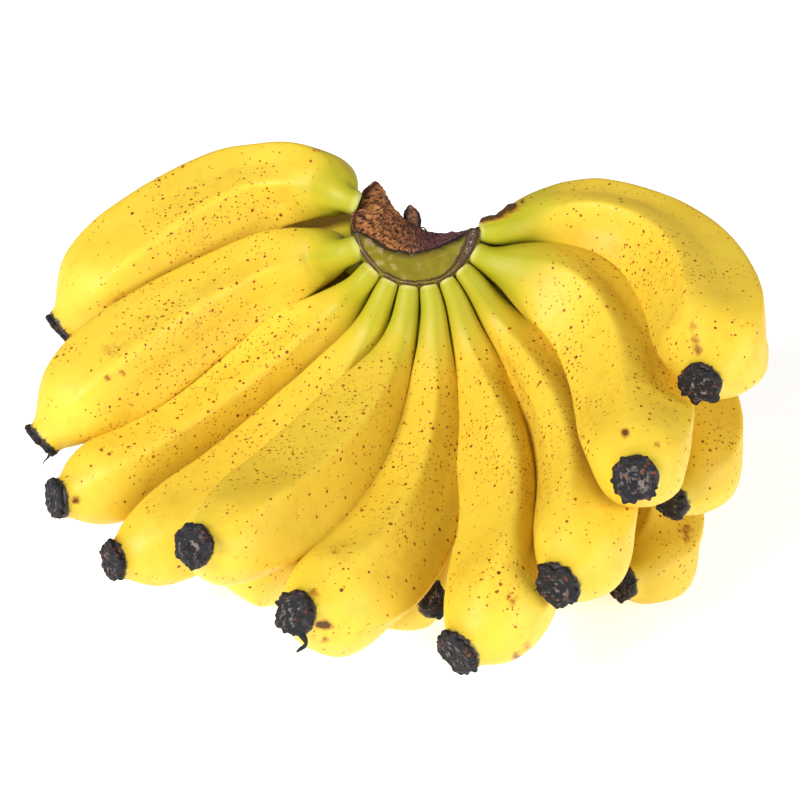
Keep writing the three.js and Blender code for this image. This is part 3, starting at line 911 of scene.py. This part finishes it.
def even_crown():
    """The crown's part as a fine, even and slightly softened skin."""
    piece = piece_from(copy_of("crown"), "crown_cushion", cushion)
    even = piece.modifiers.new("even_skin", "REMESH")
    even.mode = "VOXEL"
    even.voxel_size = 0.45 * MM
    softer = piece.modifiers.new("softer", "SMOOTH")
    softer.factor = 0.6
    softer.iterations = 10
    apply_modifiers(piece)
    piece.data.shade_smooth()
    return piece


def low_ridge(distance, place, width):
    """A low rounded ridge, 1 at its crest."""
    return np.exp(-((distance - place) / width) ** 2)


def above_edge(points):
    """How far points lie above the wandering edge of the cut, in mm."""
    side, up, _ = in_crown(points).T
    edge_side, edge_up = zip(*CUT_EDGE)
    return up - np.interp(side, edge_side, edge_up) + 0.7 * cloud(points, 3.5, 4)


def inside_rim(points):
    """How far points lie inside the crown's outer arc, in mm."""
    side, up, _ = in_crown(points).T
    ragged = 0.4 * cloud(points, 4, 11) + 0.2 * cloud(points, 1.5, 12)
    return RIM_RADIUS - np.hypot(side, up) + ragged


crown = even_crown()
print("points in the crown:", len(crown.data.vertices))

# %% [markdown]
# ## Shape the crown
# The cut covers what lies above its edge and faces up or back. The rim is two low ridges with a
# groove between them, which is deeper on the right, and the band is slightly hollow inside it. A
# fine seam runs along the edge of the cut.
# Fibres and lumps give the cut its relief. It is all real geometry, because the rim and the fibres
# show against the light, where relief in a material alone would stay flat.

# %% Shape and mark the crown
FIBRE_CENTRE = (4.0, 14.0)  # the stalk, as side and up
FIBRE_TURN = 25  # turns the angle round it into mm, at a usual distance from it
FIBRE = (0.8, 4.0, 6.0)  # how wide, long and deep a fibre of the cut is
RIM_CRESTS = ((1.0, 0.4, 0.6), (0.8, 1.9, 0.4))  # share of full height, place and width in mm
GROOVE = (1.15, 0.3)  # its place and width
HOLLOW = (9, 4)  # and those of the hollow in the band
SEAM = (0, 0.5)  # and those of the seam along the edge of the cut
RIM_HEIGHT, GROOVE_DEPTH, HOLLOW_DEPTH, SEAM_DEPTH = 0.9, 1.2, 0.7, 0.35


def cut_share(points, facing, edge, front):
    """How much each point belongs to the cut, from 0 to 1."""
    side, up, _ = in_crown(points).T
    open_to_sky = smooth_share(facing[:, 1], 0.1, 0.35)
    open_to_sky *= smooth_share(np.hypot(side, up), 27.5, 26)
    cut = smooth_share(edge, -0.3, 0.3) * np.maximum(open_to_sky, front)
    back = smooth_share(facing[:, 2], -0.3, -0.8) * smooth_share(up, -12, -6)
    return np.maximum(cut, back)


def rim_and_groove(points, inside, band):
    """The two crests of the corky rim and the groove between them, on the band only."""
    side, up, _ = in_crown(points).T
    right_side = smooth_share(np.degrees(np.arctan2(up, side)), -75, -20)
    inward = inside / (1 + 1.2 * right_side)
    worn = 0.85 + 0.35 * cloud(points, 5, 13)
    rim = sum(share * low_ridge(inward, *crest) for share, *crest in RIM_CRESTS) * worn * band
    groove = low_ridge(inward, *GROOVE) * band * (0.35 + 0.65 * right_side)
    return np.maximum(rim, groove * right_side), groove


def shape_crown(mesh):
    """Moves the crown's points and writes the numbers that its material asks for."""
    points, normals = read(mesh, "position"), read(mesh, "normal")
    side, up, out = in_crown(points).T
    facing = normals @ np.array(CROWN_TO_FRAME)
    edge, inside = above_edge(points), inside_rim(points)
    front = smooth_share(out, FRONT - 2.5, FRONT - 1.2) * smooth_share(facing[:, 2], 0.3, 0.8)
    cut = cut_share(points, facing, edge, front)
    band = front * (1 - cut)
    rim, groove = rim_and_groove(points, inside, band)

    fan = np.arctan2(up - FIBRE_CENTRE[1], side - FIBRE_CENTRE[0]) * FIBRE_TURN
    away = np.hypot(side - FIBRE_CENTRE[0], up - FIBRE_CENTRE[1])
    coarse = cloud(np.stack((fan / 2.6, away / 9, out / 6), 1), 1.0, 9)
    lift = RIM_HEIGHT * rim - GROOVE_DEPTH * groove
    lift -= HOLLOW_DEPTH * low_ridge(inside, *HOLLOW) * band
    lift += cut * (0.6 * coarse + 0.35 * cloud(points, 1.4, 6))
    lift += 0.25 * cloud(points, 5, 3) - SEAM_DEPTH * low_ridge(edge, *SEAM) * (1 - rim)
    # Painted shade: the cut darkens where it turns away from above, outside the front face; a thin
    # dark line follows its outer arc.
    outline = (1 - smooth_share(facing[:, 1], 0.25, 0.5)) * (1 - front) + low_ridge(inside, 0.2, 1)
    marks = {"position": points + normals * lift[:, None], "cut": cut, "edge": edge, "rim": rim,
             "groove": groove, "plum": smooth_share(side, -10, 6),
             "outline": np.clip(outline, 0, 0.92) * cut, "fan": fan / FIBRE[0],
             "away": away / FIBRE[1] + out / FIBRE[2]}
    for name, values in marks.items():
        write(mesh, name, values)
    print("lifted by up to", round(float(np.abs(lift).max()), 1), "mm")


shape_crown(crown.data)
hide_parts("crown")

# %% [markdown]
# ## Dry black of the flower ends
# Each finger ends where its flower dried up, in a crumpled, blue-black disc, matt as soot, with a
# dusty face and a few rusty crumbs. The disc carries how far each point is raised and how far it is
# from the middle, and the material lightens by both, in one grey that is partly pale dust and
# partly a painted highlight on the crests that stand out.

# %% Flower end material
scorched, tree = new_material("dried_flower_end")
place = add(tree, "ShaderNodeTexCoord").outputs["Object"]
across = add(tree, "ShaderNodeAttribute", attribute_name="across").outputs["Fac"]
raised = add(tree, "ShaderNodeAttribute", attribute_name="raised").outputs["Fac"]
crumbs = add(tree, "ShaderNodeTexNoise", {"Vector": place, "Scale": waves(1.111), "Detail": 4.0,
                                          "Roughness": 0.65}).outputs["Fac"]
black = add(tree, "ShaderNodeMixRGB", {"Fac": crumbs, "Color1": colour("#060607"),
                                       "Color2": colour("#1c1b20")}).outputs["Color"]
# Dust and painted highlight in one: raised crests turn grey, most of all near the middle of the face.
crest = add(tree, "ShaderNodeMath", {0: crumbs, 1: 1.1, 2: raised},
            operation="MULTIPLY_ADD").outputs[0]
dust_and_crest_highlight = add(tree, "ShaderNodeMapRange", {"Value": crest, "From Min": 0.76, "From Max": 1.25,
                                        "To Max": 0.55}).outputs[0]
inner = add(tree, "ShaderNodeMapRange", {"Value": across, "From Min": 3.5, "From Max": 6.5,
                                         "To Min": 1.0, "To Max": 0.2}).outputs[0]
dust_and_crest_highlight = add(tree, "ShaderNodeMath", {0: dust_and_crest_highlight, 1: inner}, operation="MULTIPLY").outputs[0]
black = add(tree, "ShaderNodeMixRGB", {"Fac": dust_and_crest_highlight, "Color1": black,
                                       "Color2": colour("#94877e")}).outputs["Color"]
bits = add(tree, "ShaderNodeTexNoise", {"Vector": place, "Scale": waves(2.083)}).outputs["Fac"]
rust = add(tree, "ShaderNodeMapRange", {"Value": bits, "From Min": 0.63, "From Max": 0.7,
                                        "To Max": 0.75}).outputs[0]
black = add(tree, "ShaderNodeMixRGB", {"Fac": rust, "Color1": black,
                                       "Color2": colour("#7a3a18")}).outputs["Color"]
relief = add(tree, "ShaderNodeBump", {"Height": crumbs, "Strength": 0.8, "Distance": 0.5 * MM})
surface = add(tree, "ShaderNodeBsdfPrincipled", {"Base Color": black, "Roughness": 0.6,
                                                 "Specular IOR Level": 0.3,
                                                 "Normal": relief.outputs["Normal"]})
add(tree, "ShaderNodeOutputMaterial", {"Surface": surface.outputs["BSDF"]})
print("nodes in the flower end:", len(tree.nodes))

# %% [markdown]
# ## Flower ends
# The disc sits almost flush with the peel. One outline is spun into a closed body of revolution and
# turned to the end of its finger. Its points are then moved, so that every disc has its own
# corners, wrinkles and torn rim, which a spun shape alone would never have.

# %% Spin a flower end for each finger
END_OUTLINE = ((0, -3.6), (6.2, -3.6), (7.2, -2.6), (7.8, -1.4), (8.2, -0.3), (8.0, 0.6),
               (7.2, 1.0), (6, 0.9), (4.6, 1.1), (3.2, 1.0), (1.6, 1.2), (0, 1.1))
END_RADIUS = 8.2
END_SPINS = 48
END_PROUD = 0.4  # how far the disc stands out of the peel
WRINKLES = 0.2  # their height against the crumples
END_RELIEF = 0.55
TORN_UP = 0.9  # how far the torn rim curls up or down
TORN_IN = 0.2  # how far it is torn in or out, as a share of the radius
DIMPLE = 0.5


def spun_end(name):
    """A smooth closed disc round the Z axis."""
    bm = bmesh.new()
    corners = [bm.verts.new((r * MM, 0, z * MM)) for r, z in END_OUTLINE]
    outline = corners + [bm.edges.new(pair) for pair in zip(corners, corners[1:])]
    bmesh.ops.spin(bm, geom=outline, axis=(0, 0, 1), cent=(0, 0, 0), angle=2 * math.pi,
                   steps=END_SPINS, use_merge=True, use_duplicate=False)
    bmesh.ops.remove_doubles(bm, verts=bm.verts, dist=0.001 * MM)
    bmesh.ops.recalc_face_normals(bm, faces=bm.faces)
    piece = piece_from(bm, name, scorched)
    round_off(piece, 2)
    return piece


def crumple(mesh, radius, seed):
    """Gives a disc its radius, corners, torn rim and wrinkles; gives its points, in mm."""
    points = read(mesh, "position")
    distance = np.hypot(points[:, 0], points[:, 1])
    angle = np.arctan2(points[:, 1], points[:, 0])
    round_it = np.stack((np.cos(angle), np.sin(angle), 0 * angle), 1)
    rim = smooth_share(distance, 5.5, 8) * smooth_share(points[:, 2], -3, -0.5)
    face = smooth_share(points[:, 2], 0.2, 0.8)
    lobes = 0.05 * np.cos((4 + seed % 2) * angle + seed) + 0.16 * cloud(round_it, 0.8, seed)
    torn_rim = TORN_IN * cloud(round_it, 0.22, seed + 2) * rim
    wrinkles = np.sin(4.2 * distance + 3.4 * cloud(points, 3.4, seed + 4))
    crumpled = 1.0 * cloud(points, 2.0, seed + 6) + 0.5 * cloud(points, 0.8, seed + 8)
    raised = face * (WRINKLES * wrinkles + crumpled)
    write(mesh, "across", distance)
    write(mesh, "raised", raised)
    points[:, :2] *= ((1 + lobes + torn_rim) * radius / END_RADIUS)[:, None]
    points[:, 2] += END_RELIEF * raised + rim * (TORN_UP * cloud(round_it, 0.3, seed + 1) - 0.1)
    points[:, 2] -= DIMPLE * smooth_share(distance, 4, 0) * face
    return points


for seed, (finger, (place, heading, radius)) in enumerate(endings.items()):
    end = spun_end("flower_end_" + finger)
    points = crumple(end.data, radius, seed)
    turn = np.array(heading.to_track_quat("Z", "Y").to_matrix())
    write(end.data, "position", points @ turn.T + np.array(place / MM + heading * END_PROUD))
print("flower ends:", len(endings))

# %% [markdown]
# ## Threads of the dead flower
# Two flower ends still hold a shred of the dead flower, a little hook and a thin thread, and two
# dry threads hang behind the crown. Each starts as a small ring that is extruded along a few steps
# and narrowed on the way. A curve with a thickness would do as well, but a shred is flat, so its
# rings are squashed.

# %% Shreds
SHREDS = {  # where it starts in mm, and steps as side, up and out from there with the radius
    "flower_shred_hook": (endings["finger_in_6"][0] / MM, (
        ((2.2, -6.6, 1.5), 1.6), ((4.2, -9.2, 1.5), 1.5), ((4.4, -11.2, 1), 1.2),
        ((2.2, -12.4, 0.5), 1.1), ((0.6, -13.8, 0), 0.5))),
    "flower_shred_thread": (endings["finger_in_2"][0] / MM, (
        ((3.4, -5.2, 1), 0.9), ((2.6, -7, 1.5), 0.5), ((0.8, -8, 1.5), 0.4), ((1.2, -9.6, 1), 0.3))),
    "bract_thread_1": (CROWN_MIDDLE, (
        ((1.6, -1, -25), 0.8), ((2.4, 1.4, -25), 0.6), ((3.6, 0.8, -25), 0.5),
        ((4.8, -1.4, -24), 0.4))),
    "bract_thread_2": (CROWN_MIDDLE, (
        ((5.2, -2.4, -24), 0.6), ((6.2, -0.9, -24), 0.5), ((7.4, -1.2, -24), 0.4),
        ((8.2, -2.2, -24), 0.3))),
}
SHRED_SIDES = 8
SHRED_FLATNESS = 0.6


def place_ring(ring, centre, heading, radius):
    """Lays a ring flat across its heading, as a squashed circle."""
    across = heading.to_track_quat("Z", "Y")
    for corner, v in enumerate(ring):
        turn = 2 * math.pi * corner / len(ring)
        flat = Vector((math.cos(turn), SHRED_FLATNESS * math.sin(turn), 0)) * radius
        v.co = (centre + across @ flat) * MM


def shred_mesh(start, steps):
    """A tube of rings along the steps, closed at both ends."""
    bm = bmesh.new()
    ring = bmesh.ops.create_circle(bm, cap_ends=True, segments=SHRED_SIDES, radius=1)["verts"]
    for count, (step, radius) in enumerate(steps):
        if count:
            cap = [face for face in bm.faces if all(v in ring for v in face.verts)]
            grown = bmesh.ops.extrude_discrete_faces(bm, faces=cap[:1])["faces"]
            ring = list(grown[0].verts)
        before = steps[max(count - 1, 0)][0]
        following = steps[min(count + 1, len(steps) - 1)][0]
        heading = CROWN_TO_FRAME @ (Vector(following) - Vector(before))
        place_ring(ring, start + CROWN_TO_FRAME @ Vector(step), heading, radius)
    bmesh.ops.recalc_face_normals(bm, faces=bm.faces)
    return bm


for name, (start, steps) in SHREDS.items():
    shred = piece_from(shred_mesh(start, steps), name, scorched)
    round_off(shred, 2)
    write(shred.data, "across", np.full(len(shred.data.vertices), END_RADIUS))
    write(shred.data, "raised", np.zeros(len(shred.data.vertices)))
print("shreds:", list(SHREDS))

# %% [markdown]
# ## Bract scrap
# Behind the cut a torn scrap of dry bract is left standing, veined and leathery brown. It starts
# from its own part of the frame, is rounded, and frays toward its free end. Its border is burnt
# darker than the middle, so the scrap carries how near each point is to that border.

# %% Bract scrap
dry, tree = new_material("dry_bract_skin")
place = add(tree, "ShaderNodeTexCoord").outputs["Object"]
border = add(tree, "ShaderNodeAttribute", attribute_name="border").outputs["Fac"]
veins = add(tree, "ShaderNodeTexNoise", {"Vector": place, "Scale": waves(1.667),
                                         "Detail": 4.0}).outputs["Fac"]
inner = add(tree, "ShaderNodeMapRange", {"Value": veins, "From Min": 0.4, "From Max": 0.6}).outputs[0]
husk = add(tree, "ShaderNodeMixRGB", {"Fac": inner, "Color1": colour("#4a2c1c"),
                                      "Color2": colour("#8a5a3a")}).outputs["Color"]
husk = add(tree, "ShaderNodeMixRGB", {"Fac": border, "Color1": husk,
                                      "Color2": colour("#17110f")}).outputs["Color"]
crinkle = add(tree, "ShaderNodeBump", {"Height": veins, "Strength": 0.6, "Distance": 0.4 * MM})
surface = add(tree, "ShaderNodeBsdfPrincipled", {"Base Color": husk, "Roughness": 0.8,
                                                 "Normal": crinkle.outputs["Normal"]})
add(tree, "ShaderNodeOutputMaterial", {"Surface": surface.outputs["BSDF"]})

scrap = piece_from(copy_of("bract_scrap"), "bract_scrap_skin", dry)
round_off(scrap, 4)
points, normals = read(scrap.data, "position"), read(scrap.data, "normal")
side, up, _ = in_crown(points).T
free = smooth_share(up, 4, 11)
fray = (0.3 + 0.5 * free) * cloud(points, 2.2, 8) + 0.25 * cloud(points, 0.9, 5)
from_middle = np.abs(side - (side.min() + side.max()) / 2)
write(scrap.data, "position", points + normals * fray[:, None])
write(scrap.data, "border", smooth_share(from_middle + 0.8 * free, 1.4, 2.8))
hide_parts("bract_scrap")
print("points in the scrap:", len(points))
